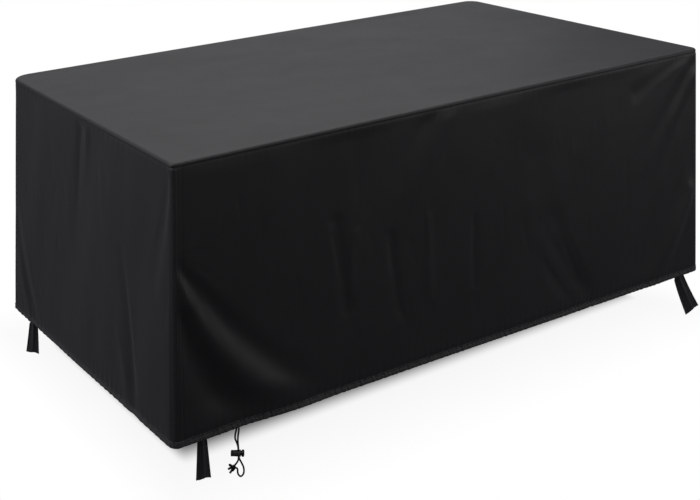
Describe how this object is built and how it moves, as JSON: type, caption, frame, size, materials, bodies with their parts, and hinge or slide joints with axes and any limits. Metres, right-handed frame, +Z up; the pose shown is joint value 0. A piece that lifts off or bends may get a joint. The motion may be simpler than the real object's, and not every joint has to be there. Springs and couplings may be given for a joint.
{
  "type": "patio furniture cover",
  "caption": "Fitted box-shaped fabric cover for a rectangular patio table set, with a hemmed skirt, corner webbing tails and a drawcord with a sprung cord lock.",
  "frame": {"origin": "under the middle of the top panel, where the furniture holds the cover up", "axes": "+Z up, +X along the long sides, -Y towards the long side with the drawcord"},
  "size_m": [1.8905, 1.0935, 0.8707],
  "materials": {
    "cover_cloth": "coated woven polyester, black, low sheen",
    "webbing": "flat woven webbing, black",
    "cord": "braided round cord, black",
    "lock_plastic": "moulded, black, satin"
  },
  "bodies": {
    "cover": {"top_panel": "cover_cloth", "skirt_front": "cover_cloth", "skirt_right": "cover_cloth", "skirt_back": "cover_cloth", "skirt_left": "cover_cloth", "strap_front_left": "webbing", "strap_front_right": "webbing", "strap_back_right": "webbing", "strap_back_left": "webbing", "drawcord_short": "cord", "drawcord_loop": "cord", "cord_tail_upper": "cord", "cord_tail_lower": "cord", "cord_knot": "cord", "lock_barrel": "lock_plastic"},
    "button": {"lock_button": "lock_plastic"}
  },
  "joints": [
    {"name": "button_press", "type": "slide", "parent": "cover", "child": "button", "axis": [-0.809, 0.5878, 0], "range_m": [0, 0.0025], "stiffness_N_per_m": 400}
  ]
}
